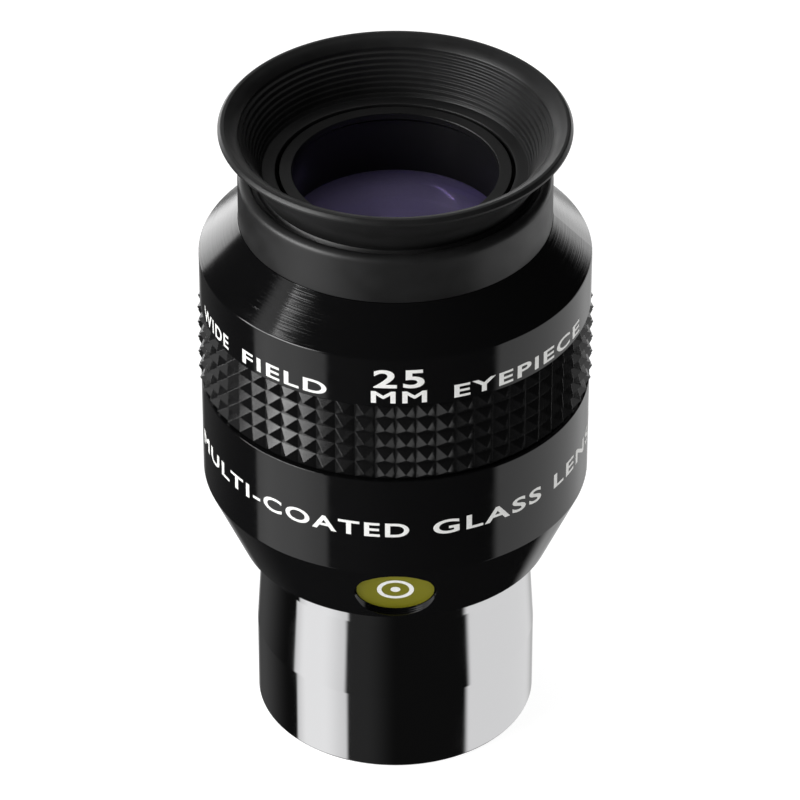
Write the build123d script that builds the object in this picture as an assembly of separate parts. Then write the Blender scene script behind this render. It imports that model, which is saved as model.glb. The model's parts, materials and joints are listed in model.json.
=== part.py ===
"""Sealed telescope eyepiece for 1.25 inch focusers, with a fold-down rubber eyecup.

Millimetres. +Z is the optical axis, towards the eye. The origin is the centre of the
nosepiece's open end, which the eyepiece stands on. The purge plug faces -Y.
Every round part is an outline of (radius, height) corners turned about Z.
"""

import os
from math import copysign, cos, radians, sin, sqrt

from build123d import *

# Clearances and small edges
SLIP = 0.05  # between parts that slide together
PLAY = 0.02  # between parts that only just miss each other
THREAD_RELIEF = 0.4
EDGE = 0.12

# Nosepiece: the chrome tube that slides into the focuser
NOSE_R = 15.85
NOSE_EDGE = 0.35
NOSE_STRAIGHT_TOP = 10.0
NOSE_NECK_R = 15.27
NOSE_NECK_BOTTOM = 19.9
NOSE_NECK_TOP = 23.65
NOSE_BORE_R = 13.9
NOSE_STEP_R = 13.2
NOSE_STEP_Z = 24.0
NOSE_THREAD_R = 14.7
NOSE_TOP = 28.8
MOUTH_R = 14.4
FILTER_CREST_R = 13.93
FILTER_ROOT_R = 14.25
FILTER_PITCH = 0.6
FILTER_TURNS = 6
FILTER_START = 0.7
FILTER_RUNOUT = 0.9

# Field stop: the knife-edged ring that frames the view
STOP_R = 11.35
STOP_THICKNESS = 1.5
STOP_KNIFE = 0.15
STOP_BEVEL = 1.1

# Housings: the black body, parted under the grip
BODY_R = 21.65
BODY_BOTTOM = 23.05
BODY_BOTTOM_R = 17.72
CONE_TOP = 32.05
CONE_EDGE = 0.4
GRIP_BOTTOM = 44.7
GRIP_TOP = 54.7
BODY_TOP = 60.75
BODY_TOP_EDGE = 0.25
SHOULDER_TOP = 65.15
SHOULDER_TOP_R = 17.3
SPIGOT_R = 18.9
SPIGOT_TOP = 50.6
CHAMBER_R = 17.4
CHAMBER_FLOOR = 34.0
HEAD_BORE_R = 16.0
HEAD_FLOOR = 56.5
HEAD_SLOPE = (59.1, 62.0)
CELL_SEAT_R = 14.4
CELL_LEDGE_R = 13.4
CELL_LEDGE_Z = 30.2
NOSE_SOCKET_TOP = 29.2

# Neck: the top of the upper housing, with a bead that the eyecup snaps over
NECK_R = 15.05
NECK_TOP = 69.3
NECK_EDGE = 0.3
NECK_BORE_R = 12.98
BEAD_R = 15.6
BEAD_Z = (66.9, 67.5)
BEAD_SLOPE = 0.5

# Grip: a rubber ring of pyramids
GRIP_COLUMNS = 60
GRIP_ROWS = 5
GRIP_SEAT_R = 20.4
GRIP_APEX_R = 21.95
GRIP_VALLEY_R = 21.1

# Lens cell and glass: spherical faces are given by their apex height and curve
CELL_R = 14.35
CELL_BORE_R = 12.85
CELL_BOTTOM = 30.25
CELL_TOP = 62.85
GLARE_GROOVES = 7
GLARE_GROOVE_DEPTH = 0.35
GLASS_R = 12.8
CEMENT = 0.03
OUTER_CURVE = 40.0
CEMENTED_CURVE = 26.0
FLAT_CURVE = 90.0
EYE_APEX = 64.95
EYE_JOIN = 57.35
EYE_BACK = 55.55
MIDDLE_APEX = 54.9
MIDDLE_TOP_CURVE = 45.0
MIDDLE_BACK = 50.5
MIDDLE_BACK_CURVE = 60.0
FIELD_APEX = 49.9
FIELD_JOIN = 48.1
FIELD_BACK = 40.5
SPACER_BORE_R = 11.8
UPPER_SPACER_Z = (53.33, 56.32)
LOWER_SPACER_Z = (49.13, 51.66)
VENT_R = 0.5

# Field lens retainer: the threaded ring below the field lens
FIELD_RING_Z = (39.4, 41.7)
FIELD_RING_BORE_R = 11.6
FIELD_RING_LIP = (0.3, 0.5)

# Eye lens retainer: the ring seen inside the eyecup, on a tube that holds the eye lens
EYE_RING_TOP = 71.03
EYE_RING_LIP_R = 11.31
EYE_RING_TOP_R = 12.7
EYE_RING_BORE_R = 11.98
EYE_RING_R = 12.93
EYE_RING_FOOT = 63.14
EYE_RING_FOOT_R = 12.2
EYE_RING_SHOULDER = 63.75
EYE_RING_TUBE_TOP = 69.5
EYE_RING_LIP_Z = (69.6, 70.3)
EYE_RING_EDGE = 0.08

# Eyecup: a collar on the neck, a flared skirt with steps inside, and a rim
CUP_BORE_R = 13.1
CUP_FLOOR = 71.1
CUP_EDGE = 0.1
COLLAR_R = 17.25
COLLAR_TOP = 70.8
COLLAR_EDGE = 0.7
FOLD_GROOVE_R = (15.3, 16.1)
FOLD_GROOVE_Z = 69.95
FOLD_EDGE = 0.25
SKIRT_BACK = ((15.0, 70.45), (16.45, 72.85), (19.3, 76.3))
SKIRT_BELL = ((13.95, 71.75), (15.4, 74.15), (17.5, 76.45))
STEPS = 6
LIP_TOP = 77.0
LIP_R = 18.35
LIP_LAND = 0.3
LIP_BEVEL = 0.4
RIM_PARTING_R = 18.3

# Purge plug: lies square to the cone, so its heights are above the cone's surface
PLUG_Z = 27.5
PLUG_R = 4.45
PLUG_HEAD = (-2.05, -1.05)
PLUG_NOSE_R = 3.0
PORT_R = 4.5
PORT_DEPTH = 2.6
PORT_RINGS = 3
PORT_RING_PITCH = 0.26
PORT_RING_DEPTH = 0.12
PORT_RING_TOP = -0.3
LABEL_R = 4.3
LABEL_THICKNESS = 0.15
GAS_HOLE_R = 0.8
GAS_HOLE_DEPTH = 4.2
GAS_RISE_R = 0.6
GAS_RISE_Y = -16.0
GAS_RISE_BOTTOM = 28.9

# Grub screws that lock the housings together, hidden by the grip
LOCK_SCREWS = 3
LOCK_SCREW_R = 0.8
LOCK_SCREW_Z = 46.3
LOCK_SCREW_FIRST = 90
LOCK_SCREW_ENDS = (18.98, 20.3)
LOCK_SOCKET = (0.4, 0.7)

# O-rings: (centre radius, section radius, height)
HOUSING_SEAL = (18.53, 0.36, 49.2)
CELL_SEAL = (14.73, 0.35, 32.1)
EYE_SEAL = (12.56, 0.34, 63.33)
FIELD_SEAL = (12.35, 0.34, 42.06)
PLUG_SEAL = (3.5, 0.24, -PORT_DEPTH + 0.24 + PLAY)
GROOVE_ROOM = 0.25

SPANNER_SLOT = (1.0, 0.8)  # width and depth
CUT = 1.0  # how far a cutting tool runs past what it cuts
FROM_BASE = (Align.CENTER, Align.CENTER, Align.MIN)


def turned(*corners):
    """Solid of revolution about Z. A corner is (radius, height) or (radius, height, rounding)."""
    face = make_face(Polyline(*[(c[0], 0, c[1]) for c in corners], close=True)).face()
    for radius, height, *rounding in corners:
        if rounding:
            corner = face.vertices().sort_by_distance((radius, 0, height))[0]
            face = face.fillet_2d(rounding[0], [corner])
    return revolve(face, Axis.Z, 360)


def surface_height(apex, curve, radius):
    """Height at a radius of a spherical face; the curve is positive if it bulges up."""
    return apex - copysign(abs(curve) - sqrt(curve**2 - radius**2), curve)


def lens(top, top_curve, back, back_curve):
    """Round glass between two spherical faces."""

    def half_face(apex, curve):
        radii = (0, GLASS_R / 2, GLASS_R)
        return ThreePointArc(*[(r, 0, surface_height(apex, curve, r)) for r in radii])

    upper = half_face(top, top_curve)
    lower = half_face(back, back_curve)
    edge = Line(upper @ 1, lower @ 1)
    axis = Line(lower @ 0, upper @ 0)
    return revolve(make_face([upper, edge, lower, axis]), Axis.Z, 360)


def o_ring(seal):
    radius, section, height = seal
    return Pos(0, 0, height) * Torus(radius, section)


def groove(seal, wall_r):
    """Corners, from the bottom up, of an O-ring's groove in a wall."""
    radius, section, height = seal
    floor_r = radius + copysign(section + PLAY, radius - wall_r)
    low = height - section - GROOVE_ROOM
    high = height + section + GROOVE_ROOM
    return [(wall_r, low), (floor_r, low), (floor_r, high), (wall_r, high)]


def radial_hole(radius, height, azimuth, length):
    """Cylinder along a radius, from the axis outwards."""
    hole = Rot(0, 90, 0) * Cylinder(radius, length, align=FROM_BASE)
    return Rot(0, 0, azimuth) * Pos(0, 0, height) * hole


def spanner_slots(inner, outer, bottom):
    """Two opposite slots for a pin spanner, cut up into a ring's bottom."""
    width, depth = SPANNER_SLOT
    middle = (inner + outer) / 2
    slot = Box(outer - inner + CUT, width, depth + CUT, align=FROM_BASE)
    return [Pos(x, 0, bottom - CUT) * slot for x in (-middle, middle)]


# Nosepiece


def filter_thread():
    """Corners of the filter thread's rings, from the mouth up."""
    land = FILTER_PITCH / 3
    flank = land / 2
    corners = [(FILTER_CREST_R, FILTER_START)]
    for turn in range(FILTER_TURNS):
        low = FILTER_START + turn * FILTER_PITCH + land
        corners += [
            (FILTER_CREST_R, low),
            (FILTER_ROOT_R, low + flank),
            (FILTER_ROOT_R, low + flank + land),
            (FILTER_CREST_R, low + 2 * flank + land),
        ]
    top = corners[-1][1] + land
    corners += [
        (FILTER_CREST_R, top),
        (FILTER_ROOT_R, top + flank),
        (FILTER_ROOT_R, top + flank + FILTER_RUNOUT),
        (NOSE_BORE_R, top + 2 * flank + FILTER_RUNOUT),
    ]
    return corners


def nosepiece_barrel():
    """Chrome tube with a tapered undercut outside and a filter thread in its mouth."""
    return turned(
        (NOSE_R - NOSE_EDGE, 0),
        (NOSE_R, NOSE_EDGE, NOSE_EDGE / 2),
        (NOSE_R, NOSE_STRAIGHT_TOP),
        (NOSE_NECK_R, NOSE_NECK_BOTTOM),
        (NOSE_NECK_R, NOSE_NECK_TOP),
        (NOSE_THREAD_R, NOSE_NECK_TOP),
        (NOSE_THREAD_R, NOSE_TOP - THREAD_RELIEF),
        (NOSE_THREAD_R - THREAD_RELIEF, NOSE_TOP),
        (NOSE_STEP_R, NOSE_TOP),
        (NOSE_STEP_R, NOSE_STEP_Z),
        (NOSE_BORE_R, NOSE_STEP_Z),
        *reversed(filter_thread()),
        (MOUTH_R, 0),
    )


def field_stop_ring():
    top = NOSE_STEP_Z - PLAY
    bottom = top - STOP_THICKNESS
    outer = NOSE_BORE_R - SLIP
    ring = turned(
        (outer, bottom),
        (outer, top),
        (STOP_R, top),
        (STOP_R, top - STOP_KNIFE),
        (STOP_R + STOP_BEVEL, bottom),
    )
    return ring - spanner_slots(STOP_R + STOP_BEVEL, outer, bottom)


# Purge port and plug


def plug_plane():
    """Plane on the cone at the plug's centre, facing straight out of the cone."""
    lean = (BODY_R - BODY_BOTTOM_R) / (CONE_TOP - BODY_BOTTOM)
    radius = BODY_BOTTOM_R + lean * (PLUG_Z - BODY_BOTTOM)
    return Plane(origin=(0, -radius, PLUG_Z), x_dir=(1, 0, 0), z_dir=(0, -1, -lean))


def plug_disc(radius, low, high):
    """Cylinder on the plug's axis."""
    return plug_plane() * Pos(0, 0, low) * Cylinder(radius, high - low, align=FROM_BASE)


def port_rings():
    """Thread rings in the port's mouth."""
    half = PORT_RING_PITCH / 2
    root_r = PORT_R + PORT_RING_DEPTH
    rings = []
    for turn in range(PORT_RINGS):
        middle = PORT_RING_TOP - turn * PORT_RING_PITCH
        rings += [
            plug_plane() * Pos(0, 0, middle - half) * Cone(PORT_R, root_r, half, align=FROM_BASE),
            plug_plane() * Pos(0, 0, middle) * Cone(root_r, PORT_R, half, align=FROM_BASE),
        ]
    return rings


def purge_port():
    """All that the purge port cuts from the lower housing."""
    rise = Cylinder(GAS_RISE_R, CHAMBER_FLOOR + CUT - GAS_RISE_BOTTOM, align=FROM_BASE)
    return [
        plug_disc(PORT_R, -PORT_DEPTH, PORT_R),
        plug_disc(GAS_HOLE_R, -GAS_HOLE_DEPTH, 0),
        Pos(0, GAS_RISE_Y, GAS_RISE_BOTTOM) * rise,
        *port_rings(),
    ]


def purge_plug():
    """Threaded disc with a nose that centres its seal."""
    low, high = PLUG_HEAD
    return plug_disc(PLUG_R, low, high) + plug_disc(PLUG_NOSE_R, SLIP - PORT_DEPTH, low)


def purge_plug_label():
    low = PLUG_HEAD[1]
    return plug_disc(LABEL_R, low, low + LABEL_THICKNESS)


# Housings


def lower_housing():
    """Lower body: cone, cylinder and the threaded spigot that enters the upper housing."""
    shell = turned(
        (CELL_LEDGE_R, NOSE_SOCKET_TOP),
        (NOSE_THREAD_R + SLIP, NOSE_SOCKET_TOP),
        (NOSE_THREAD_R + SLIP, NOSE_NECK_TOP),
        (NOSE_NECK_R + PLAY, NOSE_NECK_TOP),
        (NOSE_NECK_R + PLAY, BODY_BOTTOM),
        (BODY_BOTTOM_R, BODY_BOTTOM, EDGE),
        (BODY_R, CONE_TOP, CONE_EDGE),
        (BODY_R, GRIP_BOTTOM - SLIP, EDGE),
        (SPIGOT_R, GRIP_BOTTOM - SLIP),
        *groove(HOUSING_SEAL, SPIGOT_R),
        (SPIGOT_R, SPIGOT_TOP - THREAD_RELIEF),
        (SPIGOT_R - THREAD_RELIEF, SPIGOT_TOP),
        (CHAMBER_R, SPIGOT_TOP),
        (CHAMBER_R, CHAMBER_FLOOR),
        (CELL_SEAT_R, CHAMBER_FLOOR),
        *reversed(groove(CELL_SEAL, CELL_SEAT_R)),
        (CELL_SEAT_R, CELL_LEDGE_Z),
        (CELL_LEDGE_R, CELL_LEDGE_Z),
    )
    return shell - purge_port()


def upper_housing():
    """Upper body: grip seat, cylinder, shoulder and the neck that carries the eyecup."""
    slope_bottom, slope_top = HEAD_SLOPE
    bead_bottom, bead_top = BEAD_Z
    shell = turned(
        (SPIGOT_R + SLIP, GRIP_BOTTOM),
        (GRIP_SEAT_R, GRIP_BOTTOM),
        (GRIP_SEAT_R, GRIP_TOP),
        (BODY_R, GRIP_TOP, EDGE),
        (BODY_R, BODY_TOP, BODY_TOP_EDGE),
        (SHOULDER_TOP_R, SHOULDER_TOP),
        (NECK_R, SHOULDER_TOP),
        (NECK_R, bead_bottom - BEAD_SLOPE),
        (BEAD_R, bead_bottom),
        (BEAD_R, bead_top),
        (NECK_R, bead_top + BEAD_SLOPE),
        (NECK_R, NECK_TOP, NECK_EDGE),
        (NECK_BORE_R, NECK_TOP),
        (NECK_BORE_R, CELL_TOP + SLIP),
        (CELL_SEAT_R, CELL_TOP + SLIP),
        (CELL_SEAT_R, HEAD_FLOOR),
        (HEAD_BORE_R, HEAD_FLOOR),
        (HEAD_BORE_R, slope_top),
        (SPIGOT_R + SLIP, slope_bottom),
    )
    screw_holes = [
        radial_hole(LOCK_SCREW_R + PLAY, LOCK_SCREW_Z, azimuth, BODY_R)
        for azimuth in screw_azimuths()
    ]
    return shell - screw_holes


def screw_azimuths():
    return [LOCK_SCREW_FIRST + 360 / LOCK_SCREWS * i for i in range(LOCK_SCREWS)]


def housing_lock_screws():
    """Hex-socket grub screws through the upper housing, on to the spigot."""
    inner, outer = LOCK_SCREW_ENDS
    socket_r, socket_depth = LOCK_SOCKET
    stem = Cylinder(LOCK_SCREW_R, outer - inner, align=FROM_BASE)
    socket = extrude(RegularPolygon(socket_r, 6), socket_depth)
    screw = Rot(0, 90, 0) * (stem - Pos(0, 0, outer - inner - socket_depth) * socket)
    screws = [
        (Rot(0, 0, azimuth) * Pos(inner, 0, LOCK_SCREW_Z) * screw).solid()
        for azimuth in screw_azimuths()
    ]
    return Compound(children=screws)


def grip_ring():
    """Rubber ring of pyramids: turned V ridges crossed by V flutes."""
    bottom = GRIP_BOTTOM + SLIP
    top = GRIP_TOP - SLIP
    row = (top - bottom) / GRIP_ROWS
    ridges = [(GRIP_VALLEY_R, bottom)]
    for i in range(GRIP_ROWS):
        ridges += [
            (GRIP_APEX_R, bottom + row * (i + 0.5)),
            (GRIP_VALLEY_R, bottom + row * (i + 1)),
        ]
    bore_r = GRIP_SEAT_R + PLAY
    band = turned((bore_r, bottom), *ridges, (bore_r, top))
    corners = []
    for i in range(2 * GRIP_COLUMNS):
        angle = radians(180 / GRIP_COLUMNS * i)
        radius = GRIP_APEX_R if i % 2 else GRIP_VALLEY_R
        corners.append((radius * sin(angle), -radius * cos(angle)))
    flutes = extrude(make_face(Polyline(*corners, close=True)), top + CUT)
    return band & flutes


# Lens cell and glass


def glare_grooves():
    """Corners, from the top down, of saw-toothed grooves that stop glare."""
    corners = []
    for i in reversed(range(GLARE_GROOVES)):
        top = CELL_BOTTOM + 2 + i
        corners += [
            (CELL_BORE_R, top),
            (CELL_BORE_R + GLARE_GROOVE_DEPTH, top - GLARE_GROOVE_DEPTH / 3),
            (CELL_BORE_R, top - 2 * GLARE_GROOVE_DEPTH),
        ]
    return corners


def vents(length):
    """Radial gas vents at the two air spaces between the lenses."""
    heights = [sum(ends) / 2 for ends in (UPPER_SPACER_Z, LOWER_SPACER_Z)]
    return [radial_hole(VENT_R, z, azimuth, length) for z in heights for azimuth in (0, 180)]


def lens_cell():
    """Tube that holds the glass."""
    tube = turned(
        (CELL_BORE_R, CELL_BOTTOM),
        (CELL_R, CELL_BOTTOM),
        (CELL_R, CELL_TOP),
        (CELL_BORE_R, CELL_TOP),
        *glare_grooves(),
    )
    return tube - vents(CELL_R + CUT)


def spacer(ends):
    """Vented ring between two lenses."""
    low, high = ends
    ring = turned((SPACER_BORE_R, low), (GLASS_R, low), (GLASS_R, high), (SPACER_BORE_R, high))
    return ring - vents(GLASS_R + CUT)


def field_lens_retainer():
    """Ring with a thin lip inside the O-ring that it presses on the field lens."""
    bottom, top = FIELD_RING_Z
    lip_width, lip_height = FIELD_RING_LIP
    lip_r = FIELD_RING_BORE_R + lip_width
    outer = CELL_BORE_R - SLIP
    ring = turned(
        (FIELD_RING_BORE_R, bottom),
        (outer, bottom),
        (outer, top),
        (lip_r, top),
        (lip_r, top + lip_height),
        (FIELD_RING_BORE_R, top + lip_height),
    )
    return ring - spanner_slots(FIELD_RING_BORE_R, outer, bottom)


def eye_lens_retainer():
    lip_bottom, lip_inner_bottom = EYE_RING_LIP_Z
    return turned(
        (EYE_RING_BORE_R, EYE_RING_FOOT),
        (EYE_RING_FOOT_R, EYE_RING_FOOT),
        (EYE_RING_FOOT_R, EYE_RING_SHOULDER),
        (EYE_RING_R, EYE_RING_SHOULDER),
        (EYE_RING_R, EYE_RING_TUBE_TOP),
        (EYE_RING_TOP_R, EYE_RING_TUBE_TOP + EYE_RING_R - EYE_RING_TOP_R),
        (EYE_RING_TOP_R, EYE_RING_TOP, EYE_RING_EDGE),
        (EYE_RING_LIP_R, EYE_RING_TOP, EYE_RING_EDGE),
        (EYE_RING_LIP_R, lip_inner_bottom),
        (EYE_RING_BORE_R, lip_bottom),
    )


# Eyecup


def eyecup_collar():
    """Rubber band that snaps over the neck, with the groove that the cup folds at."""
    bead_bottom, bead_top = BEAD_Z
    groove_inner, groove_outer = FOLD_GROOVE_R
    bore_r = NECK_R + PLAY
    bead_r = BEAD_R + PLAY
    bell_foot = SKIRT_BELL[0]
    return turned(
        (bore_r, SHOULDER_TOP + SLIP),
        (COLLAR_R, SHOULDER_TOP + SLIP, EDGE),
        (COLLAR_R, COLLAR_TOP, COLLAR_EDGE),
        (groove_outer, COLLAR_TOP, FOLD_EDGE),
        (groove_outer, FOLD_GROOVE_Z, FOLD_EDGE),
        (groove_inner, FOLD_GROOVE_Z, FOLD_EDGE),
        SKIRT_BACK[0],
        bell_foot,
        (bell_foot[0] - CUP_EDGE, CUP_FLOOR, CUP_EDGE),
        (CUP_BORE_R, CUP_FLOOR, CUP_EDGE),
        (CUP_BORE_R, NECK_TOP + PLAY),
        (bore_r, NECK_TOP + PLAY),
        (bore_r, bead_top + BEAD_SLOPE),
        (bead_r, bead_top + PLAY),
        (bead_r, bead_bottom - PLAY),
        (bore_r, bead_bottom - BEAD_SLOPE),
    )


def section_arc(points):
    """Arc in the section plane through three (radius, height) points."""
    return ThreePointArc(*[(radius, 0, height) for radius, height in points])


def flare():
    """The whole flared cup above the fold, stepped inside, before its rim is parted."""
    back = section_arc(SKIRT_BACK)
    bell = section_arc(SKIRT_BELL)
    steps = [bell @ 0]
    for i in range(1, STEPS + 1):
        riser_top = bell @ (i / STEPS)
        steps += [Vector(riser_top.X, 0, steps[-1].Z), riser_top]
    edge = back @ 1
    lip = [
        edge,
        edge + Vector(0, 0, LIP_LAND),
        Vector(edge.X - LIP_BEVEL, 0, LIP_TOP),
        Vector(LIP_R, 0, LIP_TOP),
    ]
    inside = Polyline(*lip, *reversed(steps), back @ 0)
    return revolve(make_face([back, *inside.edges()]), Axis.Z, 360)


def rim_parting():
    """Cylinder whose side parts the skirt, inside it, from the rim."""
    return Cylinder(RIM_PARTING_R, LIP_TOP + CUT, align=FROM_BASE)


PARTS = {
    "nosepiece_barrel": nosepiece_barrel(),
    "field_stop_ring": field_stop_ring(),
    "lower_housing": lower_housing(),
    "upper_housing": upper_housing(),
    "housing_seal": o_ring(HOUSING_SEAL),
    "housing_lock_screws": housing_lock_screws(),
    "grip_ring": grip_ring(),
    "purge_plug": purge_plug(),
    "purge_plug_label": purge_plug_label(),
    "purge_plug_seal": plug_plane() * o_ring(PLUG_SEAL),
    "lens_cell": lens_cell(),
    "lens_cell_seal": o_ring(CELL_SEAL),
    "eye_crown_lens": lens(EYE_APEX, OUTER_CURVE, EYE_JOIN, -CEMENTED_CURVE),
    "eye_flint_lens": lens(EYE_JOIN - CEMENT, -CEMENTED_CURVE, EYE_BACK, -FLAT_CURVE),
    "upper_spacer": spacer(UPPER_SPACER_Z),
    "middle_lens": lens(MIDDLE_APEX, MIDDLE_TOP_CURVE, MIDDLE_BACK, -MIDDLE_BACK_CURVE),
    "lower_spacer": spacer(LOWER_SPACER_Z),
    "field_flint_lens": lens(FIELD_APEX, FLAT_CURVE, FIELD_JOIN + CEMENT, CEMENTED_CURVE),
    "field_crown_lens": lens(FIELD_JOIN, CEMENTED_CURVE, FIELD_BACK, -OUTER_CURVE),
    "field_lens_seal": o_ring(FIELD_SEAL),
    "field_lens_retainer": field_lens_retainer(),
    "eye_lens_retainer": eye_lens_retainer(),
    "eye_lens_seal": o_ring(EYE_SEAL),
    "eyecup_collar": eyecup_collar(),
    "eyecup_skirt": flare() & rim_parting(),
    "eyecup_rim": flare() - rim_parting(),
}

os.makedirs("parts", exist_ok=True)
for name, shape in PARTS.items():
    export_step(shape, f"parts/{name}.step")
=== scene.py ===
"""Looks of the eyepiece: finishes, moulded rubber eyecup, lettering, coated lenses and a soft studio."""
import json
from math import cos, pi, radians, sin, tan

import bmesh
import bpy
from mathutils import Matrix, Vector
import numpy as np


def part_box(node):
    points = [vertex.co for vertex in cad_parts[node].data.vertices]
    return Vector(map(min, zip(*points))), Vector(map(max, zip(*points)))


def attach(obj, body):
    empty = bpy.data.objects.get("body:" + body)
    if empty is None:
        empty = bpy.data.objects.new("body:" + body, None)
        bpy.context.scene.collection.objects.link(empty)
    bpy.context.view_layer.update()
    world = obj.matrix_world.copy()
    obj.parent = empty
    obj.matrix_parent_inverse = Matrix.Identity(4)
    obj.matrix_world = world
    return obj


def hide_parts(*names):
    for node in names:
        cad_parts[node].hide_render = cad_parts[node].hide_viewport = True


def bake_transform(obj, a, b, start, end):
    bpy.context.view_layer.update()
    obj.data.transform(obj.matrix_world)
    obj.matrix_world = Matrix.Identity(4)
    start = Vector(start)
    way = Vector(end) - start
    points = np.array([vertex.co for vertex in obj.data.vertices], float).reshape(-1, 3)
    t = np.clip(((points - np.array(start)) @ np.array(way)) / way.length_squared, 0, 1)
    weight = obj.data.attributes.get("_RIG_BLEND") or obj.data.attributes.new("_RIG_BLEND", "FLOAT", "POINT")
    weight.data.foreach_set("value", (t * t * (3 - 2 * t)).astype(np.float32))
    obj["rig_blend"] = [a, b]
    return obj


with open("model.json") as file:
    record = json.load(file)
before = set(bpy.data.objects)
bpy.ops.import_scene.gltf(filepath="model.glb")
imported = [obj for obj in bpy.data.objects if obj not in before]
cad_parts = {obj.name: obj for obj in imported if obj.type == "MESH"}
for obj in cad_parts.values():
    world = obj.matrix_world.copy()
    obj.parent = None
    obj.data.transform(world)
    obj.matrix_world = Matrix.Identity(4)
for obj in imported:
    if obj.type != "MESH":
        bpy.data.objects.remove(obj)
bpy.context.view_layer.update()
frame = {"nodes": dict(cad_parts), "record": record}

MM = 0.001
NODES = frame["nodes"]

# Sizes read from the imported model, in millimetres
BODY_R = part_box("lower_housing")[1].x / MM
COLLAR_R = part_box("eyecup_collar")[1].x / MM
COLLAR_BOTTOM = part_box("eyecup_collar")[0].z / MM
LIP_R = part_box("eyecup_rim")[1].x / MM
LIP_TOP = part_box("eyecup_rim")[1].z / MM

# The sloping shoulder above the body's edge, where turning lines show
SHOULDER_BOTTOM = 60.85
SHOULDER_TOP = 65.2


# Shader helpers


def put(tree, socket, value):
    if isinstance(value, bpy.types.NodeSocket):
        tree.links.new(value, socket)
    else:
        socket.default_value = value


def add_node(tree, kind, inputs=(), **settings):
    """New node; inputs are (socket name or number, value or output) pairs."""
    node = tree.nodes.new(kind)
    for name, value in settings.items():
        setattr(node, name, value)
    for name, value in inputs:
        put(tree, node.inputs[name], value)
    return node


def calculate(tree, operation, *values):
    """Output of a Math node that works on one or two values."""
    return add_node(tree, "ShaderNodeMath", enumerate(values), operation=operation).outputs[0]


class Finish:
    """A node material built round one Principled shader."""

    def __init__(self, name, **sockets):
        self.material = bpy.data.materials.new(name)
        self.material.use_nodes = True
        self.tree = self.material.node_tree
        self.shader = self.tree.nodes["Principled BSDF"]
        for socket, value in sockets.items():
            self.shader.inputs[socket.replace("_", " ")].default_value = value
        self.place = self.tree.nodes.new("ShaderNodeTexCoord").outputs["Object"]

    def add(self, kind, inputs=(), **settings):
        return add_node(self.tree, kind, inputs, **settings)

    def link(self, socket, output):
        self.tree.links.new(output, self.shader.inputs[socket])

    def stretched(self, x, y, z):
        """The object's own coordinates, in millimetres, times a scale for each axis."""
        pairs = [(0, self.place), (1, (x / MM, y / MM, z / MM))]
        return self.add("ShaderNodeVectorMath", pairs, operation="MULTIPLY").outputs[0]

    def noise(self, scale, detail=3.0, roughness=0.55):
        """Noise with features about one millimetre across, scaled by (x, y, z)."""
        pairs = [
            ("Vector", self.stretched(*scale)),
            ("Scale", 1.0),
            ("Detail", detail),
            ("Roughness", roughness),
        ]
        return self.add("ShaderNodeTexNoise", pairs).outputs["Fac"]

    def spread(self, value, low, high, source=(0.3, 0.7)):
        """A value mapped from the usual range of noise, or another range, to low and high."""
        pairs = [("Value", value), (1, source[0]), (2, source[1]), (3, low), (4, high)]
        return self.add("ShaderNodeMapRange", pairs).outputs[0]

    def band(self, low, high, fade=0.1):
        """One between two heights in millimetres, and nothing outside them."""
        height = self.add("ShaderNodeSeparateXYZ", [(0, self.place)]).outputs["Z"]
        rise = self.spread(height, 0, 1, ((low - fade) * MM, low * MM))
        fall = self.spread(height, 1, 0, (high * MM, (high + fade) * MM))
        return calculate(self.tree, "MULTIPLY", rise, fall)

    def worn_edges(self, radius):
        """Normal that rounds every edge by a radius in millimetres."""
        return self.add("ShaderNodeBevel", [("Radius", radius * MM)], samples=6).outputs[0]

    def bump(self, *layers, normal=None):
        """Layers of (height, distance in millimetres, strength) stacked on the shader's normal."""
        for height, distance, strength in layers:
            pairs = [("Strength", strength), ("Distance", distance * MM), ("Height", height)]
            if normal:
                pairs.append(("Normal", normal))
            normal = self.add("ShaderNodeBump", pairs).outputs[0]
        self.link("Normal", normal)

    def tint(self, value, dark, light):
        """Colour that runs from dark to light with a value."""
        mix = self.add("ShaderNodeMix", data_type="RGBA")
        for name, setting in (("Factor", value), ("A", (*dark, 1)), ("B", (*light, 1))):
            socket = next(s for s in mix.inputs if s.name == name and s.enabled)
            put(self.tree, socket, setting)
        self.link("Base Color", next(s for s in mix.outputs if s.enabled))


# Finishes


def chrome():
    finish = Finish("chrome", Metallic=1.0, Base_Color=(0.8, 0.8, 0.81, 1))
    turning = finish.noise((0.15, 0.15, 30), detail=2)
    smudge = finish.noise((0.18, 0.18, 0.12), detail=4)
    finish.link("Roughness", finish.spread(smudge, 0.035, 0.09))
    finish.bump((turning, 0.001, 0.05))
    return finish.material


def gloss_black():
    """Hard black paint, with turning lines under it on the shoulder."""
    finish = Finish("gloss_black", Base_Color=(0.004, 0.004, 0.0042, 1), IOR=1.5)
    peel = finish.noise((0.9, 0.9, 0.9), detail=2)
    wipe = finish.noise((0.25, 0.25, 0.6), detail=5)
    turning = finish.noise((0.03, 0.03, 8), detail=3, roughness=0.7)
    finish.link("Roughness", finish.spread(wipe, 0.05, 0.12))
    finish.bump((peel, 0.004, 0.05), (turning, 0.012, finish.band(SHOULDER_BOTTOM, SHOULDER_TOP)))
    return finish.material


def satin_black():
    finish = Finish("satin_black", Base_Color=(0.008, 0.008, 0.008, 1))
    turning = finish.noise((0.3, 0.3, 18), detail=3)
    finish.link("Roughness", finish.spread(turning, 0.3, 0.42))
    finish.bump((turning, 0.01, 0.15))
    return finish.material


def grip_rubber():
    finish = Finish("grip_rubber", Base_Color=(0.006, 0.006, 0.0062, 1))
    grain = finish.noise((6, 6, 6), detail=4)
    scuff = finish.noise((0.5, 0.5, 0.5), detail=4)
    finish.link("Roughness", finish.spread(scuff, 0.17, 0.27))
    finish.bump((grain, 0.01, 0.2), normal=finish.worn_edges(0.06))
    return finish.material


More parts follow.
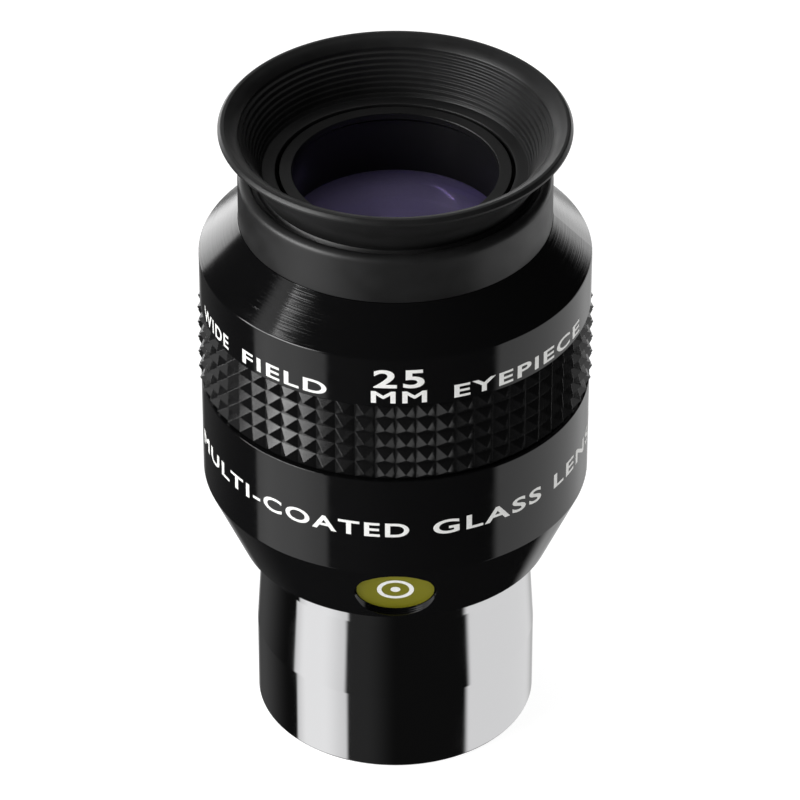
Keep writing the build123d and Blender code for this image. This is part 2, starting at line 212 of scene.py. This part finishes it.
def eyecup_rubber():
    finish = Finish("eyecup_rubber")
    grain = finish.noise((9, 9, 9), detail=4)
    bloom = finish.noise((0.3, 0.3, 0.4), detail=5)
    finish.tint(finish.spread(bloom, 0, 1), (0.0095, 0.0095, 0.0095), (0.0135, 0.0135, 0.0138))
    finish.link("Roughness", finish.spread(bloom, 0.36, 0.46))
    finish.bump((grain, 0.008, 0.3))
    return finish.material


def seal_rubber():
    finish = Finish("seal_rubber", Base_Color=(0.01, 0.01, 0.01, 1))
    grain = finish.noise((4, 4, 4))
    finish.link("Roughness", finish.spread(grain, 0.4, 0.6))
    return finish.material


def blackened_steel():
    finish = Finish("blackened_steel", Metallic=1.0, Base_Color=(0.1, 0.1, 0.105, 1))
    grain = finish.noise((3, 3, 3))
    finish.link("Roughness", finish.spread(grain, 0.3, 0.5))
    return finish.material


def coated_glass():
    """Glass whose thin film coating throws back violet, with a painted violet reflection: the light that is
    not transmitted is scattered as a violet diffuse colour in place of the coating's reflection.
    """
    finish = Finish(
        "coated_glass",
        # Painted reflection: a violet base colour with transmission below one makes the glass scatter
        # violet, standing in for the coating's reflection
        Base_Color=(0.64, 0.55, 1.0, 1),
        Roughness=0.0,
        IOR=1.52,
        Transmission_Weight=0.78,
        Thin_Film_Thickness=120,
        Thin_Film_IOR=1.38,
    )
    return finish.material


def olive_enamel():
    finish = Finish("olive_enamel")
    grain = finish.noise((2, 2, 2), detail=4)
    finish.tint(finish.spread(grain, 0, 1), (0.165, 0.155, 0.004), (0.185, 0.175, 0.006))
    finish.link("Roughness", finish.spread(grain, 0.35, 0.5))
    finish.bump((grain, 0.01, 0.1))
    return finish.material


def print_white():
    finish = Finish("print_white")
    ink = finish.noise((5, 5, 5), detail=4)
    finish.tint(finish.spread(ink, 0, 1), (0.74, 0.74, 0.72), (0.86, 0.86, 0.84))
    finish.link("Roughness", finish.spread(ink, 0.35, 0.5))
    return finish.material


# One finish for each material slot of the record, and white ink for the lettering
FINISHES = {
    "chrome_nosepiece": chrome(),
    "black_housing": gloss_black(),
    "black_inner_metal": satin_black(),
    "matte_black_metal": satin_black(),
    "grip_rubber": grip_rubber(),
    "eyecup_rubber": eyecup_rubber(),
    "seal_rubber": seal_rubber(),
    "screw_steel": blackened_steel(),
    "coated_glass": coated_glass(),
    "olive_label": olive_enamel(),
}
PRINT_WHITE = print_white()


def paint(piece, material):
    piece.data.materials.clear()
    piece.data.materials.append(material)


for subpart in frame["record"]["subparts"]:
    paint(NODES[subpart["node"]], FINISHES[subpart["material_slot"]])


# Mesh helpers. Outlines are (radius, height) points, in millimetres

SMOOTH_BELOW = radians(35)


def fillet(before, corner, after, radius, steps):
    """Points of an arc that rounds a corner of an outline."""
    corner = Vector(corner)
    to_before = (Vector(before) - corner).normalized()
    to_after = (Vector(after) - corner).normalized()
    half = to_before.angle(to_after) / 2
    reach = radius / tan(half)
    centre = corner + (to_before + to_after).normalized() * radius / sin(half)
    first = corner + to_before * reach - centre
    last = corner + to_after * reach - centre
    turn = first.angle_signed(last)
    return [centre + Matrix.Rotation(-turn * i / steps, 2) @ first for i in range(steps + 1)]


def arc_through(first, middle, last, steps):
    """Evenly spaced points on the circle through three points."""
    a = Vector(first)
    u = Vector(middle) - a
    v = Vector(last) - a
    to_centre = Vector((
        v.y * u.length_squared - u.y * v.length_squared,
        u.x * v.length_squared - v.x * u.length_squared,
    )) / (2 * u.cross(v))
    centre = a + to_centre
    turn = (a - centre).angle_signed(a + v - centre)
    return [centre + Matrix.Rotation(-turn * i / steps, 2) @ (a - centre) for i in range(steps + 1)]


def outline(corners, steps):
    """Closed outline of (radius, height) or (radius, height, rounding) corners."""
    points = []
    for i, (radius, height, *rounding) in enumerate(corners):
        if rounding:
            before = corners[i - 1][:2]
            after = corners[(i + 1) % len(corners)][:2]
            points += fillet(before, (radius, height), after, rounding[0], steps)
        else:
            points.append(Vector((radius, height)))
    return points


def divided(points, longest):
    """The same closed outline with no side longer than a length."""
    result = []
    for i, point in enumerate(points):
        following = points[(i + 1) % len(points)]
        count = max(1, int((following - point).length / longest + 0.999))
        result += [point.lerp(following, k / count) for k in range(count)]
    return result


def turned(name, points, segments):
    """Solid of revolution of a closed outline."""
    vertices = []
    for k in range(segments):
        angle = 2 * pi * k / segments
        for p in points:
            vertices.append((p.x * MM * sin(angle), -p.x * MM * cos(angle), p.y * MM))
    count = len(points)
    faces = []
    for k in range(segments):
        here = k * count
        there = (k + 1) % segments * count
        for i in range(count):
            j = (i + 1) % count
            faces.append((here + i, there + i, there + j, here + j))
    mesh = bpy.data.meshes.new(name)
    mesh.from_pydata(vertices, [], faces)
    return finished(name, mesh)


def finished(name, mesh):
    """Object from a mesh, with outward normals and smooth shading that breaks at sharp edges."""
    work = bmesh.new()
    work.from_mesh(mesh)
    bmesh.ops.recalc_face_normals(work, faces=work.faces)
    work.to_mesh(mesh)
    work.free()
    mesh.shade_smooth()
    mesh.set_sharp_from_angle(angle=SMOOTH_BELOW)
    piece = bpy.data.objects.new(name, mesh)
    bpy.context.scene.collection.objects.link(piece)
    return piece


# Eyecup: one rubber moulding that stands for the collar, the skirt and the rim

NECK_BORE_R = 15.07
NECK_TOP = 69.33
COLLAR_TOP = 70.85
COLLAR_TOP_EDGE = 0.75
COLLAR_FOOT_EDGE = 0.04

# Groove between the collar and the skirt
GROOVE_OUTER_R = 16.05
GROOVE_TOP = 70.75
GROOVE_FLOOR_R = (15.95, 15.3)
GROOVE_FLOOR = 69.95
GROOVE_EDGES = (0.25, 0.25, 0.3)

# Back of the skirt, then the lip
BACK = ((15.0, 70.45), (16.45, 72.85), (19.2, 76.25))
BACK_STEPS = 14
LIP_SIDE = (76.4, 76.62)
LIP_LAND_R = (19.0, 18.6)
LIP_EDGES = (0.1, 0.1, 0.25, 0.15)
LIP_FLARE = ((17.1, 76.0), (17.65, 76.5), (18.3, 76.85))

# Ribbed inside, then the floor round the lens retainer
BELL = ((14.7, 71.45), (15.6, 73.9), (17.1, 76.0))
RIBS = 8
RIB_LIFT = 0.1
RIB_EDGE = 0.12
RIB_ROOT_EDGE = 0.8 * RIB_EDGE
CUP_FLOOR = 71.1
CUP_FLOOR_R = 14.6
CUP_BORE_R = 13.1
FOOT_EDGES = (0.05, 0.15, 0.1)

CUP_SEGMENTS = 256
CORNER_STEPS = 5
LONGEST_SIDE = 0.35

# Where the moulding starts to follow the rim as the cup folds down
FOLD_FOOT = 70.8
FOLD_ABOVE = 71.2
FOLD_START_R = 16.9
FOLD_END_R = 18.3


def collar_corners():
    """From the collar's foot, up its outside and across the groove."""
    return [
        (NECK_BORE_R, COLLAR_BOTTOM),
        (COLLAR_R, COLLAR_BOTTOM, COLLAR_FOOT_EDGE),
        (COLLAR_R, COLLAR_TOP, COLLAR_TOP_EDGE),
        (GROOVE_OUTER_R, GROOVE_TOP, GROOVE_EDGES[0]),
        (GROOVE_FLOOR_R[0], GROOVE_FLOOR, GROOVE_EDGES[1]),
        (GROOVE_FLOOR_R[1], GROOVE_FLOOR, GROOVE_EDGES[2]),
    ]


def lip_corners():
    """Up the back of the skirt, over the lip and down its flare."""
    back = [(p.x, p.y) for p in arc_through(*BACK, BACK_STEPS)]
    flare = [(p.x, p.y) for p in arc_through(*LIP_FLARE, 4)]
    return [
        *back,
        (LIP_R, LIP_SIDE[0], LIP_EDGES[0]),
        (LIP_R, LIP_SIDE[1], LIP_EDGES[1]),
        (LIP_LAND_R[0], LIP_TOP, LIP_EDGES[2]),
        (LIP_LAND_R[1], LIP_TOP, LIP_EDGES[3]),
        *reversed(flare[1:]),
    ]


def inside_corners():
    """Down the ribbed inside of the bell, and in to the bore."""
    treads = arc_through(*BELL, RIBS)
    ribs = []
    for lower, upper in zip(treads, treads[1:]):
        ribs.append((upper.x, lower.y + RIB_LIFT, RIB_ROOT_EDGE))
        ribs.append((upper.x, upper.y, RIB_EDGE))
    return [
        *reversed(ribs),
        (treads[0].x, treads[0].y, FOOT_EDGES[0]),
        (CUP_FLOOR_R, CUP_FLOOR, FOOT_EDGES[1]),
        (CUP_BORE_R, CUP_FLOOR, FOOT_EDGES[2]),
        (CUP_BORE_R, NECK_TOP),
        (NECK_BORE_R, NECK_TOP),
    ]


def fold_share(radius):
    """How far a point at a radius follows the rim when the cup folds down, from 0 to 1."""
    t = min(1, max(0, (radius - FOLD_START_R) / (FOLD_END_R - FOLD_START_R)))
    return t * t * (3 - 2 * t)


def eyecup():
    corners = collar_corners() + lip_corners() + inside_corners()
    points = divided(outline(corners, CORNER_STEPS), LONGEST_SIDE)
    piece = turned("eyecup", points, CUP_SEGMENTS)
    paint(piece, FINISHES["eyecup_rubber"])
    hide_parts("eyecup_collar", "eyecup_skirt", "eyecup_rim")
    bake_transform(piece, "eyepiece", "eyecup_rim", start=(0, 0, FOLD_FOOT * MM), end=(0, 0, LIP_TOP * MM))
    shares = piece.data.attributes["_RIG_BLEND"].data
    for vertex, share in zip(piece.data.vertices, shares):
        above_fold = vertex.co.z > FOLD_ABOVE * MM
        share.value = fold_share(vertex.co.xy.length / MM) if above_fold else 0


eyecup()


# Lettering: thin ink, wrapped round the body

INK = 0.02
LETTER_SLICE = 0.4
LETTER_SPACING = 1.17
BOLDNESS = 0.022


def flat_text(words, cap_height, width):
    """Mesh of bold words on the XY plane, as tall and wide as asked, centred on x."""
    curve = bpy.data.curves.new("words", "FONT")
    curve.body = words
    curve.size = 1
    # The bevel widens the strokes; the offset setting would fill an M wrongly
    curve.bevel_depth = BOLDNESS
    curve.bevel_resolution = 0
    curve.space_character = LETTER_SPACING
    curve.resolution_u = 5
    source = bpy.data.objects.new("words", curve)
    bpy.context.scene.collection.objects.link(source)
    bpy.context.view_layer.update()
    evaluated = source.evaluated_get(bpy.context.evaluated_depsgraph_get())
    mesh = bpy.data.meshes.new_from_object(evaluated)
    bpy.data.objects.remove(source)
    xs = [v.co.x for v in mesh.vertices]
    ys = [v.co.y for v in mesh.vertices]
    for v in mesh.vertices:
        v.co.x = (v.co.x - (min(xs) + max(xs)) / 2) * width / (max(xs) - min(xs))
        v.co.y = (v.co.y - min(ys)) * cap_height / (max(ys) - min(ys))
        v.co.z *= INK / 2 / BOLDNESS
    return mesh


def sliced(work, width):
    """Cuts a flat mesh into narrow upright slices, so that it can bend round the body."""
    x = -width / 2 + LETTER_SLICE
    while x < width / 2:
        everything = work.verts[:] + work.edges[:] + work.faces[:]
        bmesh.ops.bisect_plane(work, geom=everything, plane_co=(x, 0, 0), plane_no=(1, 0, 0))
        x += LETTER_SLICE


def wrapped_text(name, words, azimuths, base, cap_height):
    """Words printed on the body between two azimuths, in degrees from the front."""
    middle = radians(sum(azimuths) / 2)
    width = radians(azimuths[1] - azimuths[0]) * BODY_R
    mesh = flat_text(words, cap_height, width)
    work = bmesh.new()
    work.from_mesh(mesh)
    bmesh.ops.remove_doubles(work, verts=work.verts, dist=1e-4)
    sliced(work, width)
    for v in work.verts:
        angle = middle + v.co.x / BODY_R
        radius = (BODY_R + INK / 4 + v.co.z) * MM
        v.co = (radius * sin(angle), -radius * cos(angle), (base + v.co.y) * MM)
    work.to_mesh(mesh)
    work.free()
    piece = finished(name, mesh)
    paint(piece, PRINT_WHITE)
    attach(piece, "eyepiece")


NUMBER_BASE = 57.1
UPPER_BASE = 55.2
UNIT_BASE = 55.15
LOWER_BASE = 37.15

wrapped_text("focal_length_number", "25", (-6.3, 8.3), NUMBER_BASE, cap_height=2.4)
wrapped_text("upper_word_wide", "WIDE", (-75, -57), UPPER_BASE, cap_height=1.75)
wrapped_text("upper_word_field", "FIELD", (-50, -20), UPPER_BASE, cap_height=1.75)
wrapped_text("upper_word_mm", "MM", (-7, 9), UNIT_BASE, cap_height=1.55)
wrapped_text("upper_word_eyepiece", "EYEPIECE", (17, 68), UPPER_BASE, cap_height=1.7)
wrapped_text("lower_word_coated", "MULTI-COATED", (-80, 4), LOWER_BASE, cap_height=1.9)
wrapped_text("lower_word_lenses", "GLASS LENSES", (11, 96), LOWER_BASE, cap_height=1.9)


# Mark on the purge plug's label: a ring and a dot, as inner and outer radii

MARK_RING = (1.55, 2.05)
MARK_DOT = (0.0, 0.55)
MARK_SINK = 0.01
MARK_SEGMENTS = 48
FACING_FRONT = -0.8


def label_face():
    """Matrix whose Z is the outward normal of the label's face, with its origin on that face."""
    label = NODES["purge_plug_label"]
    faces = [face for face in label.data.polygons if face.normal.y < FACING_FRONT]
    normal = faces[0].normal
    points = [label.data.vertices[i].co for face in faces for i in face.vertices]
    low = Vector(min(p[i] for p in points) for i in range(3))
    high = Vector(max(p[i] for p in points) for i in range(3))
    across = Vector((1, 0, 0))
    axes = Matrix((across, normal.cross(across), normal)).transposed().to_4x4()
    return label.matrix_world @ Matrix.Translation((low + high) / 2) @ axes


def label_mark(name, radii):
    """Flat ring of ink on the label, or a disc where the inner radius is nothing."""
    inner, outer = radii
    corners = [(inner, -MARK_SINK), (outer, -MARK_SINK), (outer, INK), (inner, INK)]
    piece = turned(name, [Vector(corner) for corner in corners], MARK_SEGMENTS)
    work = bmesh.new()
    work.from_mesh(piece.data)
    bmesh.ops.remove_doubles(work, verts=work.verts, dist=1e-7)
    bmesh.ops.dissolve_degenerate(work, edges=work.edges, dist=1e-7)
    bmesh.ops.transform(work, matrix=label_face(), verts=work.verts)
    work.to_mesh(piece.data)
    work.free()
    paint(piece, PRINT_WHITE)
    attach(piece, "eyepiece")


label_mark("label_mark_ring", MARK_RING)
label_mark("label_mark_dot", MARK_DOT)


# Studio: a white floor, and soft lights painted on the sky by direction

# (bearings, heights, softness of the left, right, bottom and top edges, strength), in degrees.
# Bearing 0 is the front, and negative bearings are on the left
PANELS = {
    "rear left backdrop": ((-200, -133), (-15, 8), (1, 1.5, 6, 8), 4.0),
    "rear left backdrop, upper part": ((-200, -133), (8, 34), (1, 4, 8, 8), 0.8),
    "rear right backdrop": ((119, 200), (-15, 4), (10, 1, 6, 6), 2.6),
    "front left table": ((-91, -41), (-52, 2), (1.5, 2, 4, 3), 0.85),
    "front left table, brighter middle": ((-86, -52), (-52, 2), (6, 12, 4, 3), 0.3),
    "front left window, far part": ((-93, -78), (2, 26), (1, 1, 4, 1), 11.0),
    "front left window, near part": ((-78, -48), (2, 38), (1, 10, 4, 1.2), 11.0),
    "glow above that window": ((-92.5, -74), (28, 50), (0.8, 14, 6, 4), 1.0),
    "rear left glow": ((-190, -125), (-55, 15), (6, 26, 8, 8), 0.07),
    "rear table, left part": ((-200, -168), (-60, -18), (1, 9, 8, 6), 0.5),
    "right table": ((62, 165), (-50, -12), (3, 25, 4, 6), 0.95),
    "rear table, right part": ((168, 200), (-60, -18), (9, 1, 8, 6), 0.5),
    "rear ceiling, right part": ((150, 200), (46, 85), (20, 1, 6, 8), 0.9),
    "rear ceiling, left part": ((-200, -150), (46, 85), (1, 20, 6, 8), 0.9),
    "front left glow": ((-60, -12), (-52, 10), (10, 14, 4, 8), 0.022),
}
DARK_ROOM = 0.006
SOFT_FILL = 0.3


def edge_ramp(tree, angle, limit, softness, rising):
    """Soft step of an angle at one edge of a panel."""
    start = radians(limit - softness)
    end = radians(limit + softness)
    pairs = [("Value", angle), (1, start), (2, end), (3, 0 if rising else 1), (4, 1 if rising else 0)]
    return add_node(tree, "ShaderNodeMapRange", pairs, interpolation_type="SMOOTHSTEP").outputs[0]


def panel_light(tree, bearing, height, panel):
    """Strength of one soft-edged panel in each direction."""
    (left, right), (bottom, top), softness, light = panel
    sides = [(bearing, left, True), (bearing, right, False), (height, bottom, True), (height, top, False)]
    for (angle, limit, rising), soft in zip(sides, softness):
        light = calculate(tree, "MULTIPLY", light, edge_ramp(tree, angle, limit, soft, rising))
    return light


def direction_angles(tree):
    """Bearing from the front and height above level of a direction, in radians."""
    direction = add_node(tree, "ShaderNodeTexCoord").outputs["Generated"]
    x, y, z = add_node(tree, "ShaderNodeSeparateXYZ", [(0, direction)]).outputs
    front = calculate(tree, "MULTIPLY", y, -1.0)
    return calculate(tree, "ARCTAN2", x, front), calculate(tree, "ARCSINE", z)


def studio_sky():
    sky = bpy.data.worlds.new("studio")
    sky.use_nodes = True
    bpy.context.scene.world = sky
    tree = sky.node_tree
    tree.nodes.clear()
    bearing, height = direction_angles(tree)
    light = DARK_ROOM
    for panel in PANELS.values():
        light = calculate(tree, "ADD", light, panel_light(tree, bearing, height, panel))
    path = add_node(tree, "ShaderNodeLightPath").outputs
    fill = calculate(tree, "MULTIPLY", path["Is Diffuse Ray"], SOFT_FILL)
    light = calculate(tree, "ADD", light, fill)
    lit = add_node(tree, "ShaderNodeBackground", [("Strength", light)]).outputs[0]
    white = [("Color", (1, 1, 1, 1)), ("Strength", 1.0)]
    plain = add_node(tree, "ShaderNodeBackground", white).outputs[0]
    choices = [(0, path["Is Camera Ray"]), (1, lit), (2, plain)]
    seen = add_node(tree, "ShaderNodeMixShader", choices).outputs[0]
    add_node(tree, "ShaderNodeOutputWorld", [("Surface", seen)])


FLOOR_HALF = 3.0
FLOOR_GLOW = 0.93
# Just under the standing face, so the two never share a plane
FLOOR_DROP = 0.00001


def floor():
    """White paper, three metres each way, that gloss and chrome don't reflect."""
    half = FLOOR_HALF
    corners = [(-half, -half), (half, -half), (half, half), (-half, half)]
    mesh = bpy.data.meshes.new("floor")
    mesh.from_pydata([(x, y, -FLOOR_DROP) for x, y in corners], [], [(0, 1, 2, 3)])
    plane = bpy.data.objects.new("floor", mesh)
    bpy.context.scene.collection.objects.link(plane)
    finish = Finish(
        "floor",
        Base_Color=(0.3, 0.3, 0.3, 1),
        Roughness=0.9,
        Specular_IOR_Level=0.0,
        Emission_Color=(1, 1, 1, 1),
        Emission_Strength=FLOOR_GLOW,
    )
    paint(plane, finish.material)
    plane.visible_glossy = False


CAMERA_TARGET = Vector((0, 0, 40.14 * MM))
CAMERA_DISTANCE = 620.2 * MM
CAMERA_CLIMB = radians(35.54)
CAMERA_LENS = 248.94
CAMERA_SHIFT = 0.0057


def camera():
    data = bpy.data.cameras.new("camera")
    data.sensor_width = 36
    data.lens = CAMERA_LENS
    data.shift_x = CAMERA_SHIFT
    eye = bpy.data.objects.new("camera", data)
    towards_eye = Vector((0, -cos(CAMERA_CLIMB), sin(CAMERA_CLIMB)))
    eye.location = CAMERA_TARGET + CAMERA_DISTANCE * towards_eye
    eye.rotation_euler = (pi / 2 - CAMERA_CLIMB, 0, 0)
    bpy.context.scene.collection.objects.link(eye)
    bpy.context.scene.camera = eye


studio_sky()
floor()
camera()
bpy.context.scene.view_settings.view_transform = "Standard"
